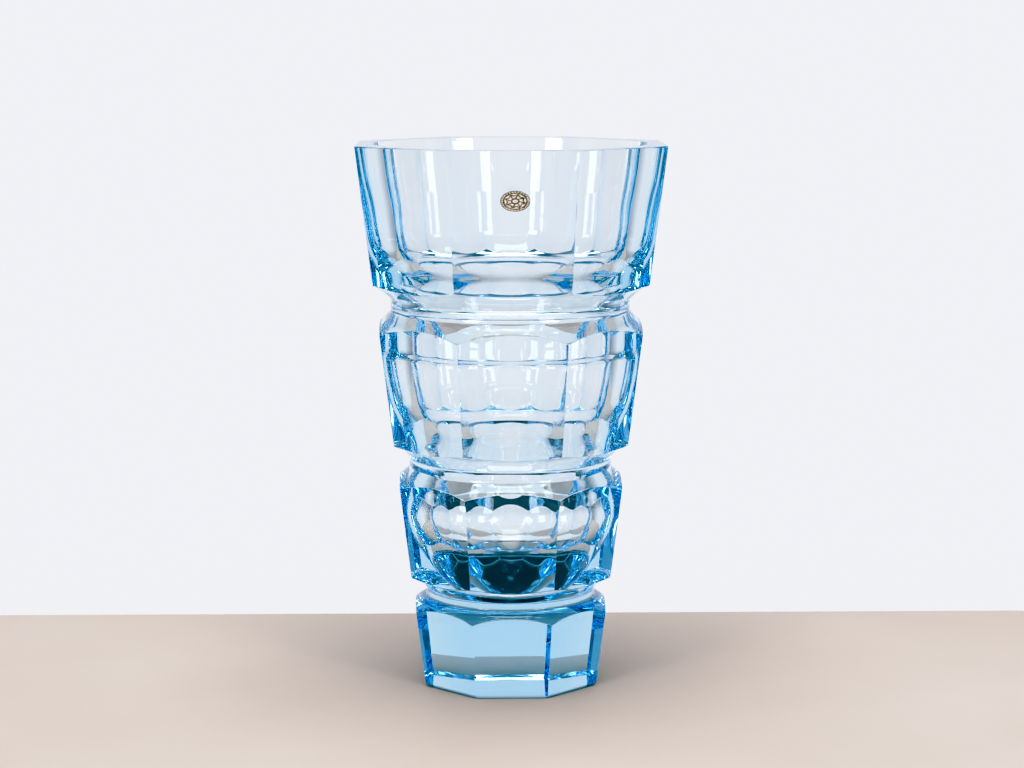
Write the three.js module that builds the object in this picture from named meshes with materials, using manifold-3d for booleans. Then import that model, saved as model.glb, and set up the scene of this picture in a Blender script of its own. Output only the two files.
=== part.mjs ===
// Cut crystal vase, in millimetres, +Z up, standing on Z = 0 with its axis on Z.
// One eight-sided block of blue crystal that widens towards the rim. Three turned
// grooves divide it into a solid foot and three hollow tiers, and one facet faces -Y.
// A small oval foil seal is stuck to that facet just below the rim.

import * as THREE from 'three';
import { mergeVertices } from 'three/addons/utils/BufferGeometryUtils.js';
import Module from 'manifold-3d';

const wasm = await Module();
wasm.setup();

// The block.
const HEIGHT = 280;
const SIDES = 8;
const FOOT_FLAT = 44.2;   // axis to the middle of a facet, at the foot
const RIM_FLAT = 78.45;   // the same at the rim
const FOOT_CHAMFER = 1.4; // round the edge of the underside

// The grooves, as [radius, height] points of half a section. The lip is the arc that
// undercuts the tier above, from its corners in to the neck, and the shoulder is the arc
// from the neck out to the corners of the tier below.
const GROOVES = [
  { lip: [[55.6, 57.8], [51.0, 55.7], [43.8, 49.5]], shoulder: [[43.8, 45.3], [49.3, 42.5], [53.1, 38.9]] },
  { lip: [[64.7, 127.0], [59.5, 125.0], [52.3, 118.0]], shoulder: [[52.3, 112.6], [57.0, 108.6], [61.8, 104.8]] },
  { lip: [[75.6, 209.7], [69.5, 207.0], [61.65, 200.4]], shoulder: [[61.65, 194.4], [67.3, 188.9], [72.2, 184.6]] },
];
const GROOVE_REACH = 100; // the grooves' cutters reach this far from the axis

// The hollow, as points of half a section from the middle of its floor up to the mouth. It is
// round, swells inside each tier and draws in at each neck.
const HOLLOW = [
  [0, 47.2], [4, 47.9], [9.5, 49.9], [16, 53.4], [21.5, 57.3], [26.5, 61.6], [31, 66.2],
  [35, 70.8], [38.4, 75.2], [41.2, 80], [43, 85], [43.8, 90.5], [43.3, 95.5], [41.8, 100.5],
  [40.1, 105.5], [39.3, 111], [39.1, 116], [39.4, 121], [40.2, 125], [41.4, 128.5], [43, 132],
  [44.6, 135], [46.3, 138], [47.9, 141], [49.4, 144], [50.7, 147.3], [51.8, 151], [53.7, 160],
  [54.8, 168], [55.1, 171.3], [54.8, 173.8], [53.7, 175.8], [53.3, 179], [53.1, 184],
  [52.7, 191], [51.6, 197], [50.4, 203], [50.5, 206.5], [51.2, 210], [53.6, 214.5], [56.8, 219],
  [59.6, 223.5], [61.6, 228], [62.7, 232.5], [63.5, 237], [65, 247], [68, 262], [70.6, 280],
];
const HOLLOW_STEPS = 46;
const MOUTH_CLEARANCE = 2; // the hollow's cutter passes this far above the rim

// The seal.
const SEAL_WIDTH = 14.6;
const SEAL_DEPTH = 10.2;
const SEAL_THICKNESS = 0.3;
const SEAL_CENTRE = 255.6; // height above the foot
const SEAL_ASIDE = 1.0;    // it sits a little to the right of the facet's middle
const SEAL_GAP = 0.3;      // clear space between the seal and the facet

const TURNED_SEGMENTS = 48;
const ARC_STEPS = 4;
const OVAL_SEGMENTS = 40;

const CORNER = 1 / Math.cos(Math.PI / SIDES); // corner radius of an octagon over its flat radius
const TAPER = (RIM_FLAT - FOOT_FLAT) / HEIGHT;

function crystal() {
  return new THREE.MeshStandardMaterial({ color: 0xa9d8f2, roughness: 0.02, metalness: 0 });
}

function sealFoil() {
  return new THREE.MeshStandardMaterial({ color: 0xcfc4a8, roughness: 0.35, metalness: 0.9 });
}

function flatRadius(height) {
  return FOOT_FLAT + TAPER * height;
}

function toSolid(geometry) {
  geometry.deleteAttribute('normal');
  geometry.deleteAttribute('uv');
  const merged = mergeVertices(geometry, 1e-4);
  return new wasm.Manifold(new wasm.Mesh({
    numProp: 3,
    vertProperties: new Float32Array(merged.attributes.position.array),
    triVerts: new Uint32Array(merged.index.array),
  }));
}

function toGeometry(solid) {
  const mesh = solid.getMesh();
  const geometry = new THREE.BufferGeometry();
  geometry.setAttribute('position', new THREE.BufferAttribute(mesh.vertProperties, 3));
  geometry.setIndex(new THREE.BufferAttribute(mesh.triVerts, 1));
  geometry.computeVertexNormals();
  return geometry;
}

// Turns a half section of [radius, height] points about the Z axis.
function turned(points, segments = TURNED_SEGMENTS) {
  const profile = points.map(([radius, height]) => new THREE.Vector2(radius, height));
  const geometry = new THREE.LatheGeometry(profile, segments, Math.PI / SIDES);
  return toSolid(geometry.rotateX(Math.PI / 2));
}

// Points on the circular arc that starts at a, passes through b and ends at c.
function arcThrough(a, b, c) {
  const d = 2 * (a[0] * (b[1] - c[1]) + b[0] * (c[1] - a[1]) + c[0] * (a[1] - b[1]));
  const squares = [a, b, c].map(([x, y]) => x * x + y * y);
  const cx = (squares[0] * (b[1] - c[1]) + squares[1] * (c[1] - a[1]) + squares[2] * (a[1] - b[1])) / d;
  const cy = (squares[0] * (c[0] - b[0]) + squares[1] * (a[0] - c[0]) + squares[2] * (b[0] - a[0])) / d;
  const radius = Math.hypot(a[0] - cx, a[1] - cy);
  const from = Math.atan2(a[1] - cy, a[0] - cx);
  const turn = (angle) => Math.atan2(Math.sin(angle - from), Math.cos(angle - from));
  const sweep = turn(Math.atan2(c[1] - cy, c[0] - cx));
  const points = [];
  for (let i = 0; i <= ARC_STEPS; i += 1) {
    const angle = from + (sweep * i) / ARC_STEPS;
    points.push([cx + radius * Math.cos(angle), cy + radius * Math.sin(angle)]);
  }
  return points;
}

// The point where the line from a through b reaches the cutters' outer radius.
function runOut(a, b) {
  const slope = (b[1] - a[1]) / (b[0] - a[0]);
  return [GROOVE_REACH, b[1] + slope * (GROOVE_REACH - b[0])];
}

// The eight-sided block before it is cut, with a corner half a facet either side of -Y.
function block() {
  return turned([
    [0, 0],
    [(FOOT_FLAT - FOOT_CHAMFER) * CORNER, 0],
    [flatRadius(FOOT_CHAMFER) * CORNER, FOOT_CHAMFER],
    [RIM_FLAT * CORNER, HEIGHT],
    [0, HEIGHT],
  ], SIDES);
}

function grooveCutter({ lip, shoulder }) {
  const upper = arcThrough(...lip);
  const lower = arcThrough(...shoulder);
  const top = runOut(upper[1], upper[0]);
  const bottom = runOut(lower[ARC_STEPS - 1], lower[ARC_STEPS]);
  return turned([top, ...upper, ...lower, bottom, top]);
}

function hollowCutter() {
  const curve = new THREE.SplineCurve(HOLLOW.map(([radius, height]) => new THREE.Vector2(radius, height)));
  const points = curve.getSpacedPoints(HOLLOW_STEPS).map((point) => [Math.max(point.x, 0), point.y]);
  const top = HEIGHT + MOUTH_CLEARANCE;
  return turned([...points, [points[HOLLOW_STEPS][0], top], [0, top]]);
}

function vaseBody() {
  let body = block();
  GROOVES.forEach((groove) => {
    body = body.subtract(grooveCutter(groove));
  });
  body = body.subtract(hollowCutter());
  const mesh = new THREE.Mesh(toGeometry(body), crystal());
  mesh.name = 'vase_body';
  return mesh;
}

// A thin oval lying along the front facet, leaning out with it.
function foilSeal() {
  const oval = new THREE.Shape();
  oval.absellipse(0, 0, SEAL_WIDTH / 2, SEAL_DEPTH / 2, 0, 2 * Math.PI);
  const settings = { depth: SEAL_THICKNESS, bevelEnabled: false, curveSegments: OVAL_SEGMENTS };
  const mesh = new THREE.Mesh(new THREE.ExtrudeGeometry(oval, settings), sealFoil());
  mesh.name = 'foil_seal';
  const lean = Math.atan(TAPER);
  mesh.rotation.x = Math.PI / 2 + lean;
  mesh.position.set(
    SEAL_ASIDE,
    -flatRadius(SEAL_CENTRE) - SEAL_GAP * Math.cos(lean),
    SEAL_CENTRE - SEAL_GAP * Math.sin(lean),
  );
  return mesh;
}

const group = new THREE.Group();
group.add(vaseBody(), foilSeal());

export default group;
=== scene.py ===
"""Cut crystal vase: one eight-sided block of aquamarine crystal with three turned grooves, a solid
foot and a foil seal near the rim. The driving dimensions are the CAD part's, in millimetres."""
import math
import bpy
import numpy as np
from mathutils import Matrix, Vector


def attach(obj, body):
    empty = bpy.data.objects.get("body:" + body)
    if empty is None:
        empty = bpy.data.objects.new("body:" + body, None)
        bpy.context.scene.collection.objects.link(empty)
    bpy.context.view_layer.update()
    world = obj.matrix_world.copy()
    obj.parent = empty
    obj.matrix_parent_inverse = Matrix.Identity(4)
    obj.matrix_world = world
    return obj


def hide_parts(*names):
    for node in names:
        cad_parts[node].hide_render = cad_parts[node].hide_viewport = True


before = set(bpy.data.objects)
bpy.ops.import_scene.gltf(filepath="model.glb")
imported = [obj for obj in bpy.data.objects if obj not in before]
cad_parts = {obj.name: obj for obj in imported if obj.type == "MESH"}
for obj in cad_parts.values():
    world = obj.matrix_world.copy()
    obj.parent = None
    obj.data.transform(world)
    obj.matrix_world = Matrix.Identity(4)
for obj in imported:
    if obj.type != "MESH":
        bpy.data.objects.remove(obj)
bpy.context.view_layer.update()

MM = 0.001

# ---------------------------------------------------------------- the vase's dimensions
SIDES = 8
HEIGHT = 280.0
FOOT_FLAT, RIM_FLAT = 44.2, 78.45
TAPER = (RIM_FLAT - FOOT_FLAT) / HEIGHT
FOOT_CHAMFER = 1.4
GROOVES = [
    dict(lip=[(55.6, 57.8), (51.0, 55.7), (43.8, 49.5)],
         shoulder=[(43.8, 45.3), (49.3, 42.5), (53.1, 38.9)]),
    dict(lip=[(64.7, 127.0), (59.5, 125.0), (52.3, 118.0)],
         shoulder=[(52.3, 112.6), (57.0, 108.6), (61.8, 104.8)]),
    dict(lip=[(75.6, 209.7), (69.5, 207.0), (61.65, 200.4)],
         shoulder=[(61.65, 194.4), (67.3, 188.9), (72.2, 184.6)]),
]
HOLLOW = [
    (0, 47.2), (4, 47.9), (9.5, 49.9), (16, 53.4), (21.5, 57.3), (26.5, 61.6), (31, 66.2),
    (35, 70.8), (38.4, 75.2), (41.2, 80), (43, 85), (43.8, 90.5), (43.3, 95.5), (41.8, 100.5),
    (40.1, 105.5), (39.3, 111), (39.1, 116), (39.4, 121), (40.2, 125), (41.4, 128.5), (43, 132),
    (44.6, 135), (46.3, 138), (47.9, 141), (49.4, 144), (50.7, 147.3), (51.8, 151), (53.7, 160),
    (54.8, 168), (55.1, 171.3), (54.8, 173.8), (53.7, 175.8), (53.3, 179), (53.1, 184),
    (52.7, 191), (51.6, 197), (50.4, 203), (50.5, 206.5), (51.2, 210), (53.6, 214.5), (56.8, 219),
    (59.6, 223.5), (61.6, 228), (62.7, 232.5), (63.5, 237), (65, 247), (68, 262), (70.6, 280),
]

# how finely the crystal is meshed, and how far its polished edges are rounded
FACET_COLUMNS = 38
CORNER_ROUND = 0.0042      # share of the facet's distance from the axis
EDGE_ROUND = 0.30
ROUND_STEPS = 5
ARC_POINTS = 60
TURNED_ROWS = 16
HOLLOW_ROWS = 170
SPLINE_STEPS = 40
UNDERSIDE_SHARES = (0.25, 0.5, 0.75, 0.97)     # rings on the underside, as shares of its width
STRIP_SHARES = (0.33, 0.67)                    # extra rings across a plain strip

# the seal
SEAL_WIDTH, SEAL_DEPTH = 14.6, 10.2
SEAL_CENTRE, SEAL_ASIDE = 255.6, 1.0
SEAL_RINGS, SEAL_SPOKES = 56, 288
SEAL_BACK = 0.03           # the foil's back, above the facet
SEAL_BACK_RINGS = (16, 36, 50)
SEAL_BACK_EDGE = 0.995
BACK_AND_EDGE_SHADE = 0.6         # painted shade: how dark the seal's back and its edge are
FOIL_HEIGHT, GROOVE_DEPTH = 0.30, 0.17
PETALS, BEADS = 8, 28
BUTTON, BORDER = 0.22, 0.90                    # shares of the seal's half width

# ---------------------------------------------------------------- the looks
ABSORPTION = (6.9, 2.7, 0.38)                  # per metre, for red, green and blue
DENSITY_MARGIN = 1.05                          # keeps the absorption colour above zero
CRYSTAL_IOR = 1.52
# the foil's colour by groove depth: cream on the raised foil, then painted shade darkening it
# towards the groove bottoms
FOIL_COLOURS_WITH_GROOVE_SHADE = [(0.0, (0.92, 0.89, 0.76)), (0.26, (0.84, 0.78, 0.60)),
                (0.50, (0.24, 0.155, 0.10)), (0.80, (0.10, 0.042, 0.03))]
FOIL_ROUGHNESS = [(0.0, 0.26), (1.0, 0.62)]
FLOOR_DARK, FLOOR_LIGHT = (0.66, 0.59, 0.53), (0.71, 0.64, 0.58)

# the room's colour from straight down to straight up
WALL = (0.848, 0.864, 0.907)
ROOM_BY_HEIGHT = [(0.0, (0.50, 0.38, 0.33)), (0.16, (0.50, 0.42, 0.38)),
                  (0.26, (0.84, 0.85, 0.88)), (0.40, WALL), (0.62, WALL),
                  (0.80, (0.40, 0.42, 0.47)), (1.0, (0.22, 0.24, 0.27))]
# how bright it is from the front, past the dim sides, to the back
ROOM_BY_DEPTH = [(0.15, (0.80, 0.81, 0.84)), (0.38, (0.34, 0.35, 0.38)),
                 (0.60, (0.34, 0.35, 0.38)), (0.80, (1.0, 1.0, 1.0))]

# the picture's tone curves, for red, green and all three together
TONE_CURVES = {
    0: ((0.05, 0.002), (0.10, 0.007), (0.15, 0.045), (0.21, 0.14), (0.32, 0.30)),
    1: ((0.04, 0.028), (0.12, 0.104), (0.30, 0.295)),
    3: ((0.05, 0.028), (0.15, 0.105), (0.30, 0.245), (0.50, 0.462), (0.72, 0.738)),
}

# ---------------------------------------------------------------- the studio, in metres
FLOOR_DROP = 0.0003        # the clear space under the foot
FLOOR_BACK = 0.147         # the table's back edge, behind the vase's axis
FLOOR_SIDE, FLOOR_FRONT, FLOOR_THICK = 0.75, -0.75, 0.03
FLOOR_CORNER, FLOOR_EDGE = 0.03, 0.003         # how far its corners and edges are rounded
CORNER_STEPS, EDGE_STEPS = 9, 5
WINDOW_ASIDE, WINDOW_BEFORE, WINDOW_HEIGHT = 1.75, 2.1, 1.15
WINDOW_AIM = (0, 0, 0.14)
WINDOW_WIDE, WINDOW_TALL, WINDOW_POWER = 0.75, 1.4, 21
WINDOW_COLOUR = (1, 0.995, 0.985)
OVERHEAD_AT, OVERHEAD_SIZE, OVERHEAD_POWER = (0, -0.2, 1.9), 1.3, 26
CAMERA_DISTANCE, CAMERA_HEIGHT = 1.283, 0.340
CAMERA_SENSOR, CAMERA_LENS = 36, 87.890625     # millimetres
CAMERA_PITCH, CAMERA_ASIDE = 8.18, 1.1         # degrees
CAMERA_TURN = 0.00072      # radians, past the vase's axis

# ---------------------------------------------------------------- curves


def arc(a, b, c, count=ARC_POINTS):
    """Points on the circular arc from a through b to c."""
    a, b, c = map(np.array, (a, b, c))
    d = 2 * (a[0] * (b[1] - c[1]) + b[0] * (c[1] - a[1]) + c[0] * (a[1] - b[1]))
    sq = [p @ p for p in (a, b, c)]
    cx = (sq[0] * (b[1] - c[1]) + sq[1] * (c[1] - a[1]) + sq[2] * (a[1] - b[1])) / d
    cy = (sq[0] * (c[0] - b[0]) + sq[1] * (a[0] - c[0]) + sq[2] * (b[0] - a[0])) / d
    radius = math.hypot(a[0] - cx, a[1] - cy)
    start = math.atan2(a[1] - cy, a[0] - cx)
    turn = math.atan2(c[1] - cy, c[0] - cx) - start
    turn = math.atan2(math.sin(turn), math.cos(turn))
    angle = start + turn * np.linspace(0, 1, count)
    return np.stack([cx + radius * np.cos(angle), cy + radius * np.sin(angle)], 1)


def run_out(points, length=2.0):
    """Lengthens the curve straight on beyond its first point."""
    d = points[0] - points[1]
    return np.vstack([points[0] + d / np.linalg.norm(d) * length, points])


def spline(points, count):
    """A uniform Catmull-Rom curve through the points, evenly spaced along its length."""
    p = np.array(points, float)
    p = np.vstack([p[0], p, p[-1]])
    t = np.linspace(0, 1, SPLINE_STEPS, endpoint=False)[:, None]
    out = []
    for a, b, c, d in zip(p, p[1:], p[2:], p[3:]):
        out.append(0.5 * (2 * b + (c - a) * t + (2 * a - 5 * b + 4 * c - d) * t ** 2
                          + (3 * b - a - 3 * c + d) * t ** 3))
    out = np.vstack(out + [p[-1]])
    run = np.r_[0, np.cumsum(np.linalg.norm(np.diff(out, axis=0), axis=1))]
    s = np.linspace(0, run[-1], count)
    return np.stack([np.interp(s, run, out[:, 0]), np.interp(s, run, out[:, 1])], 1)


def flat(h):
    """Distance from the axis to a facet at height h."""
    return FOOT_FLAT + TAPER * h


# ---------------------------------------------------------------- the crystal's mesh


def columns():
    """The angle of each column of the mesh, how far the block's outline is from the axis there
    over the facet's distance, and whether a facet ends there."""
    half = math.pi / SIDES
    edge = math.tan(half) - CORNER_ROUND
    across = np.linspace(-edge, edge, FACET_COLUMNS)
    points = [(1.0, y) for y in across]
    ends = [True] + [False] * (FACET_COLUMNS - 2) + [True]
    turn = 2 * half
    a, c = np.array((1.0, edge)), np.array((1.0, math.tan(half)))
    b = np.array((math.cos(turn) + math.sin(turn) * edge, math.sin(turn) - math.cos(turn) * edge))
    for t in np.linspace(0, 1, ROUND_STEPS + 1)[1:-1]:
        points.append(tuple((1 - t) ** 2 * a + 2 * t * (1 - t) * c + t * t * b))
        ends.append(False)
    local = np.array([math.atan2(y, x) for x, y in points])
    reach = np.array([math.hypot(x, y) for x, y in points])
    first = -math.pi / 2
    theta = np.concatenate([first + k * turn + local for k in range(SIDES)])
    return theta, np.tile(reach, SIDES), np.tile(ends, SIDES)


def meets(profile, reach):
    """How far along a turned profile, in points, it passes inside the block at each column."""
    r, h = profile.T
    out = []
    for f in reach:
        outside = r - flat(h) * f
        i = int(np.argmax(outside < 0))
        out.append(i - 1 + outside[i - 1] / (outside[i - 1] - outside[i]))
    return np.array(out)


def at(profile, s):
    index = np.arange(len(profile))
    return np.interp(s, index, profile[:, 0]), np.interp(s, index, profile[:, 1])


class Rings:
    """The rings of the crystal's surface, from the middle of its underside, up the outside,
    over the rim and down the hollow."""

    def __init__(self, theta):
        self.theta = theta
        self.rings = []
        self.sharp = []      # the surface turns at this ring
        self.faceted = []    # the strip above this ring is made of flat facets

    def add(self, r, h, sharp=False, faceted=False):
        shape = self.theta.shape
        self.rings.append((np.broadcast_to(r, shape), np.broadcast_to(h, shape)))
        self.sharp.append(sharp)
        self.faceted.append(faceted)

    def turn_edge(self, a, corner, b, after=False):
        """A small rounded edge from a to b. after says that flat facets follow it."""
        steps = np.linspace(0, 1, ROUND_STEPS + 1)
        for i, t in enumerate(steps):
            r, h = (((1 - t) ** 2 * p + 2 * t * (1 - t) * q + t * t * s)
                    for p, q, s in zip(a, corner, b))
            last = i == ROUND_STEPS
            self.add(r, h, sharp=i == 0 or last, faceted=after and last)

    def points(self):
        out = []
        for r, h in self.rings:
            out.append(np.stack([r * np.cos(self.theta), r * np.sin(self.theta), h], 1))
        return np.concatenate(out)


def crystal_rings(theta, reach):
    """All the crystal's rings, and the height of the middle of the hollow's floor."""
    def face(h):
        return flat(h) * reach, h

    s = Rings(theta)
    base = flat(0) - FOOT_CHAMFER
    for share in UNDERSIDE_SHARES:
        s.add(base * reach * share, 0.0)
    s.add(base * reach, 0.0, sharp=True, faceted=True)
    s.add(*face(FOOT_CHAMFER), sharp=True, faceted=True)
    for groove in GROOVES:
        shoulder = run_out(arc(*groove["shoulder"][::-1]))
        lip = run_out(arc(*groove["lip"]))
        step = np.linalg.norm(shoulder[2] - shoulder[1])
        s0 = meets(shoulder, reach)
        r0, h0 = at(shoulder, s0)
        s.turn_edge(face(h0 - EDGE_ROUND), (r0, h0), at(shoulder, s0 + EDGE_ROUND / step))
        inner = s0 + EDGE_ROUND / step
        for u in np.linspace(0, 1, TURNED_ROWS)[1:]:
            s.add(*at(shoulder, inner + (len(shoulder) - 1 - inner) * u))
        neck, low, high = groove["lip"][2][0], shoulder[-1][1], lip[-1][1]
        for u in STRIP_SHARES:
            s.add(neck, low + (high - low) * u)
        step = np.linalg.norm(lip[2] - lip[1])
        s1 = meets(lip, reach)
        inner = s1 + EDGE_ROUND / step
        for u in np.linspace(0, 1, TURNED_ROWS)[:-1]:
            s.add(*at(lip, len(lip) - 1 + (inner - len(lip) + 1) * u))
        r1, h1 = at(lip, s1)
        s.turn_edge(at(lip, inner), (r1, h1), face(h1 + EDGE_ROUND), after=True)
    s.turn_edge(face(HEIGHT - EDGE_ROUND), face(HEIGHT), (face(HEIGHT)[0] - EDGE_ROUND, HEIGHT))
    hollow = spline(HOLLOW, HOLLOW_ROWS)[::-1]
    mouth = hollow[0][0]
    outer = face(HEIGHT)[0] - EDGE_ROUND
    for u in STRIP_SHARES:
        s.add(outer + (mouth + EDGE_ROUND - outer) * u, HEIGHT)
    inward = hollow[1] - hollow[0]
    below = tuple(hollow[0] + inward * EDGE_ROUND / np.linalg.norm(inward))
    s.turn_edge((mouth + EDGE_ROUND, HEIGHT), (mouth, HEIGHT), below)
    for r, h in hollow[1:-1]:
        s.add(r, h)
    return s, hollow[-1][1]


def link(name, vertices, faces):
    """A new smooth-shaded object in the scene."""
    mesh = bpy.data.meshes.new(name)
    mesh.from_pydata(vertices.tolist(), [], faces)
    mesh.update()
    obj = bpy.data.objects.new(name, mesh)
    bpy.context.scene.collection.objects.link(obj)
    mesh.shade_smooth()
    return obj


def grid_faces(rows, count):
    """The quads between rings of count points each."""
    faces = []
    for j in range(rows - 1):
        for i in range(count):
            k = (i + 1) % count
            low, high = j * count, (j + 1) * count
            faces.append((low + i, low + k, high + k, high + i))
    return faces


def crystal():
    """The whole vase as one closed skin, with its sharp edges marked."""
    theta, reach, ends = columns()
    s, floor_height = crystal_rings(theta, reach)
    points = s.points()
    count, rows = len(theta), len(s.rings)
    faces = grid_faces(rows, count)
    under, floor = len(points), len(points) + 1
    points = np.vstack([points, [(0, 0, 0), (0, 0, floor_height)]]) * MM
    top = (rows - 1) * count
    for i in range(count):
        k = (i + 1) % count
        faces.append((under, k, i))
        faces.append((top + i, top + k, floor))
    obj = link("crystal_vase", points, faces)
    mesh = obj.data
    pair = np.zeros(len(mesh.edges) * 2, int)
    mesh.edges.foreach_get("vertices", pair)
    pair = np.sort(pair.reshape(-1, 2), axis=1)
    ok = pair[:, 1] < rows * count
    row = np.where(ok[:, None], pair, 0) // count
    col = np.where(ok[:, None], pair, 0) % count
    sharp_row, faceted = np.array(s.sharp), np.array(s.faceted)
    around = ok & (row[:, 0] == row[:, 1]) & sharp_row[row[:, 0]]
    upward = ok & (col[:, 0] == col[:, 1]) & faceted[row[:, 0]] & ends[col[:, 0]]
    sharp = mesh.attributes.new("sharp_edge", "BOOLEAN", "EDGE")
    sharp.data.foreach_set("value", around | upward)
    return obj


# ---------------------------------------------------------------- the foil seal


def relief(rho, phi):
    """Height of the stamped foil, in millimetres, and how deep in a groove the point is, 0 to 1:
    a beaded border, two rings and a rosette of eight spiral petals about a button."""
    def ring(centre, width):
        return np.exp(-((rho - centre) / width) ** 2)
    spokes = np.exp(-(np.sin(PETALS / 2 * phi + 1.8 * rho) / (0.34 + 0.06 / (rho + 0.2))) ** 2)
    petals = np.clip((rho - BUTTON) / 0.05, 0, 1) * np.clip((0.64 - rho) / 0.05, 0, 1)
    beads = ring(BORDER, 0.060) * (0.5 + 0.5 * np.cos(BEADS * phi))
    scallop = ring(0.58 + 0.07 * np.cos(PETALS * phi + 3.6 * rho), 0.050)
    groove = np.maximum.reduce([ring(0.775, 0.050), ring(0.235, 0.055), spokes * petals,
                                scallop, 0.9 * ring(BORDER, 0.07) - beads, ring(1.0, 0.045)])
    groove = np.clip(groove, 0, 1)
    dome = 0.07 * np.sqrt(np.clip(1 - (rho / BUTTON) ** 2, 0, 1)) + 0.05 * beads
    crinkle = (0.018 * np.sin(9 * rho * np.cos(phi) + 1.3) * np.sin(7 * rho * np.sin(phi) + 0.4)
               + 0.008 * np.sin(31 * rho * np.cos(phi + 0.5)))
    return FOIL_HEIGHT - GROOVE_DEPTH * groove + dome + crinkle, groove


def seal():
    """The stamped foil, lying along the front facet."""
    phi = np.linspace(0, 2 * math.pi, SEAL_SPOKES, endpoint=False)
    wobble = 1 + 0.006 * np.sin(5 * phi + 0.7) + 0.004 * np.sin(11 * phi)
    rings, depths = [], []

    def ring(rho, height, depth):
        u = SEAL_WIDTH / 2 * rho * wobble * np.cos(phi)
        v = SEAL_DEPTH / 2 * rho * wobble * np.sin(phi)
        rings.append(np.stack([u, v, np.broadcast_to(height, phi.shape)], 1))
        depths.append(np.broadcast_to(depth, phi.shape))

    # the back rings and the edge ring get painted shade, the same colour as a deep groove
    for k in SEAL_BACK_RINGS:
        ring(k / SEAL_RINGS, SEAL_BACK, BACK_AND_EDGE_SHADE)
    ring(SEAL_BACK_EDGE, SEAL_BACK, BACK_AND_EDGE_SHADE)
    for share in np.linspace(1, 0, SEAL_RINGS, endpoint=False):
        height, depth = relief(share * np.ones_like(phi), phi)
        ring(share, height, depth)
    local = np.concatenate(rings)
    top_height, _ = relief(np.zeros(1), np.zeros(1))
    count, rows = SEAL_SPOKES, len(rings)
    local = np.vstack([local, [(0, 0, SEAL_BACK), (0, 0, top_height[0])]])
    depth = np.concatenate(depths + [[BACK_AND_EDGE_SHADE, 0.0]])
    lean = math.atan(TAPER)
    right = np.array((1, 0, 0))
    up = np.array((0, -math.sin(lean), math.cos(lean)))
    out = np.array((0, -math.cos(lean), -math.sin(lean)))
    centre = np.array((SEAL_ASIDE, -flat(SEAL_CENTRE), SEAL_CENTRE))
    points = centre + local[:, :1] * right + local[:, 1:2] * up + local[:, 2:] * out
    faces = grid_faces(rows, count)
    back, front, top = rows * count, rows * count + 1, (rows - 1) * count
    for i in range(count):
        k = (i + 1) % count
        faces.append((back, k, i))
        faces.append((top + i, top + k, front))
    obj = link("foil_label", points * MM, faces)
    # groove depth at each point, which the foil's colour turns into painted shade
    attribute = obj.data.attributes.new("groove_shade", "FLOAT", "POINT")
    attribute.data.foreach_set("value", depth.astype(np.float32))
    return obj


# ---------------------------------------------------------------- materials


def new_material(name):
    material = bpy.data.materials.new(name)
    material.use_nodes = True
    tree = material.node_tree
    tree.nodes.clear()
    output = tree.nodes.new("ShaderNodeOutputMaterial")
    shader = tree.nodes.new("ShaderNodeBsdfPrincipled")
    tree.links.new(shader.outputs["BSDF"], output.inputs["Surface"])
    return material, tree, shader, output


def node(tree, kind, **sockets):
    """A shader node with its sockets set to values or linked to outputs."""
    n = tree.nodes.new("ShaderNode" + kind)
    for name, value in sockets.items():
        key = name.replace("_", " ")
        if hasattr(value, "is_output"):
            tree.links.new(value, n.inputs[key])
        else:
            n.inputs[key].default_value = value
    return n


def ramp(tree, fac, stops):
    """A colour ramp through (position, colour or grey) stops."""
    n = tree.nodes.new("ShaderNodeValToRGB")
    tree.links.new(fac, n.inputs["Fac"])
    elements = n.color_ramp.elements
    while len(elements) < len(stops):
        elements.new(0.5)
    for element, (position, value) in zip(elements, stops):
        element.position = position
        element.color = (*value, 1) if hasattr(value, "__len__") else (value, value, value, 1)
    return n.outputs["Color"]


def crystal_material():
    """Clear lead crystal tinted aquamarine in the mass, with the faint waves of hand polishing."""
    material, tree, shader, output = new_material("aquamarine_crystal")
    shader.inputs["Transmission Weight"].default_value = 1.0
    shader.inputs["IOR"].default_value = CRYSTAL_IOR
    shader.inputs["Base Color"].default_value = (1, 1, 1, 1)
    place = node(tree, "TexCoord").outputs["Object"]
    haze = node(tree, "TexNoise", Vector=place, Scale=60.0, Detail=3.0)
    rough = node(tree, "MapRange", Value=haze.outputs["Fac"], From_Min=0.45, From_Max=0.8,
                 To_Min=0.0, To_Max=0.02)
    tree.links.new(rough.outputs["Result"], shader.inputs["Roughness"])
    waves = node(tree, "TexNoise", Vector=place, Scale=70.0, Detail=1.0, Roughness=0.3)
    bump = node(tree, "Bump", Strength=1.0, Distance=0.00002, Height=waves.outputs["Fac"])
    tree.links.new(bump.outputs["Normal"], shader.inputs["Normal"])
    body = tree.nodes.new("ShaderNodeVolumeAbsorption")
    density = max(ABSORPTION) * DENSITY_MARGIN
    body.inputs["Density"].default_value = density
    body.inputs["Color"].default_value = tuple(1 - c / density for c in ABSORPTION) + (1,)
    tree.links.new(body.outputs["Volume"], output.inputs["Volume"])
    return material


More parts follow.
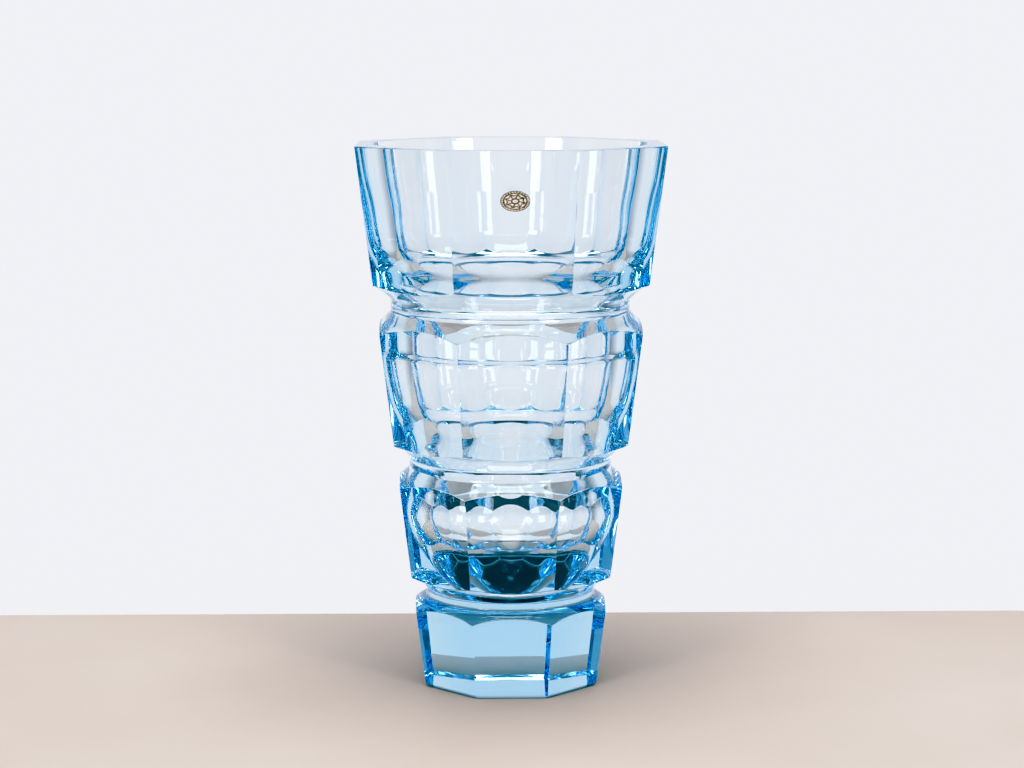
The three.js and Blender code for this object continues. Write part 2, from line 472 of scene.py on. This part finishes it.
def foil_material():
    """Stamped champagne foil, with painted shade darkening its grooves."""
    material, tree, shader, _ = new_material("champagne_foil")
    shader.inputs["Metallic"].default_value = 0.45
    groove_shade = tree.nodes.new("ShaderNodeAttribute")
    groove_shade.attribute_name = "groove_shade"
    place = node(tree, "TexCoord").outputs["Object"]
    mottle = node(tree, "TexNoise", Vector=place, Scale=900.0, Detail=4.0)
    # groove depth for the painted shade, shifted by random mottle
    groove_shade_and_mottle = node(tree, "Math", Value=groove_shade.outputs["Fac"])
    groove_shade_and_mottle.operation = "ADD"
    shift = node(tree, "MapRange", Value=mottle.outputs["Fac"], From_Min=0.3, From_Max=0.7,
                 To_Min=-0.25, To_Max=0.25)
    tree.links.new(shift.outputs["Result"], groove_shade_and_mottle.inputs[1])
    colour = ramp(tree, groove_shade_and_mottle.outputs["Value"], FOIL_COLOURS_WITH_GROOVE_SHADE)
    tree.links.new(colour, shader.inputs["Base Color"])
    rough = ramp(tree, groove_shade_and_mottle.outputs["Value"], FOIL_ROUGHNESS)
    tree.links.new(rough, shader.inputs["Roughness"])
    return material


def floor_material():
    """A plain pale floor, very slightly clouded."""
    material, tree, shader, _ = new_material("pale_floor")
    place = node(tree, "TexCoord").outputs["Object"]
    cloud = node(tree, "TexNoise", Vector=place, Scale=6.0, Detail=5.0)
    colour = ramp(tree, cloud.outputs["Fac"], [(0.3, FLOOR_DARK), (0.7, FLOOR_LIGHT)])
    tree.links.new(colour, shader.inputs["Base Color"])
    shader.inputs["Roughness"].default_value = 0.7
    return material


# ---------------------------------------------------------------- the pieces

vase = crystal()
vase.data.materials.append(crystal_material())
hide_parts("vase_body")
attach(vase, "root")

label = seal()
label.data.materials.append(foil_material())
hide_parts("foil_seal")
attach(label, "root")

# ---------------------------------------------------------------- the studio


def table_top():
    """A slab with rounded corners and edges."""
    radius, edge = FLOOR_CORNER, FLOOR_EDGE
    corners = [(FLOOR_SIDE, FLOOR_BACK), (-FLOOR_SIDE, FLOOR_BACK),
               (-FLOOR_SIDE, FLOOR_FRONT), (FLOOR_SIDE, FLOOR_FRONT)]
    outline, normal = [], []
    for k, (x, y) in enumerate(corners):
        for angle in np.linspace(k * math.pi / 2, (k + 1) * math.pi / 2, CORNER_STEPS):
            n = np.array((math.cos(angle), math.sin(angle)))
            centre = np.array((x - math.copysign(radius, x), y - math.copysign(radius, y)))
            outline.append(centre + n * radius)
            normal.append(n)
    outline, normal = np.array(outline), np.array(normal)
    under, over = [], []
    for a in np.linspace(0, math.pi / 2, EDGE_STEPS):
        inset, drop = outline - normal * edge * (1 - math.cos(a)), edge * (1 - math.sin(a))
        under.append((inset, -FLOOR_THICK + drop))
        over.append((inset, -drop))
    rows = under[::-1] + over
    points = np.concatenate([np.c_[xy, np.full(len(xy), z - FLOOR_DROP)] for xy, z in rows])
    count = len(outline)
    faces = grid_faces(len(rows), count)
    faces.append(tuple(range(count))[::-1])
    faces.append(tuple(range((len(rows) - 1) * count, len(rows) * count)))
    obj = link("table_top", points, faces)
    obj.data.set_sharp_from_angle(angle=math.radians(40))
    obj.data.materials.append(floor_material())


def area_light(name, place, towards, width, height, power, colour=(1, 1, 1)):
    """A soft rectangle of light, which the camera doesn't see."""
    data = bpy.data.lights.new(name, "AREA")
    data.shape = "RECTANGLE"
    data.size, data.size_y = width, height
    data.energy = power
    data.color = colour
    obj = bpy.data.objects.new(name, data)
    bpy.context.scene.collection.objects.link(obj)
    obj.location = place
    direction = np.array(towards, float) - np.array(place, float)
    obj.rotation_euler = Vector(direction).to_track_quat("-Z", "Y").to_euler()
    obj.visible_camera = False


def surroundings():
    """A pale room: white round the horizon, dimmer overhead, at the sides and below."""
    world = bpy.data.worlds.new("room")
    bpy.context.scene.world = world
    world.use_nodes = True
    tree = world.node_tree
    background = tree.nodes["Background"]
    direction = node(tree, "TexCoord").outputs["Generated"]
    parts = node(tree, "SeparateXYZ", Vector=direction)
    height = node(tree, "MapRange", Value=parts.outputs["Z"], From_Min=-1.0, From_Max=1.0)
    wall = ramp(tree, height.outputs["Result"], ROOM_BY_HEIGHT)
    depth = node(tree, "MapRange", Value=parts.outputs["Y"], From_Min=-1.0, From_Max=1.0)
    side = ramp(tree, depth.outputs["Result"], ROOM_BY_DEPTH)
    mix = tree.nodes.new("ShaderNodeMix")
    mix.data_type = "RGBA"
    mix.blend_type = "MULTIPLY"
    mix.inputs["Factor"].default_value = 1.0
    tree.links.new(wall, mix.inputs["A"])
    tree.links.new(side, mix.inputs["B"])
    tree.links.new(mix.outputs["Result"], background.inputs["Color"])
    background.inputs["Strength"].default_value = 1.0


def camera():
    """A long lens a little above the rim and a little to the left, looking slightly down."""
    data = bpy.data.cameras.new("camera")
    data.sensor_width = CAMERA_SENSOR
    data.lens = CAMERA_LENS
    obj = bpy.data.objects.new("camera", data)
    bpy.context.scene.collection.objects.link(obj)
    aside = math.radians(CAMERA_ASIDE)
    obj.location = (-CAMERA_DISTANCE * math.sin(aside), -CAMERA_DISTANCE * math.cos(aside),
                    CAMERA_HEIGHT)
    obj.rotation_euler = (math.radians(90 - CAMERA_PITCH), 0, -aside - CAMERA_TURN)
    bpy.context.scene.camera = obj


table_top()
for name, x in (("window_left", -WINDOW_ASIDE), ("window_right", WINDOW_ASIDE)):
    area_light(name, (x, -WINDOW_BEFORE, WINDOW_HEIGHT), WINDOW_AIM, WINDOW_WIDE, WINDOW_TALL,
               WINDOW_POWER, WINDOW_COLOUR)
area_light("overhead", OVERHEAD_AT, (0, 0, 0), OVERHEAD_SIZE, OVERHEAD_SIZE, OVERHEAD_POWER)
surroundings()
camera()

scene = bpy.context.scene
scene.view_settings.view_transform = "Standard"
scene.view_settings.use_curve_mapping = True
for channel, points in TONE_CURVES.items():
    for x, y in points:
        scene.view_settings.curve_mapping.curves[channel].points.new(x, y)
scene.view_settings.curve_mapping.update()
scene.cycles.use_denoising = True
scene.cycles.caustics_refractive = False
scene.cycles.max_bounces = 28
scene.cycles.transmission_bounces = 28
scene.cycles.glossy_bounces = 14
scene.cycles.transparent_max_bounces = 8
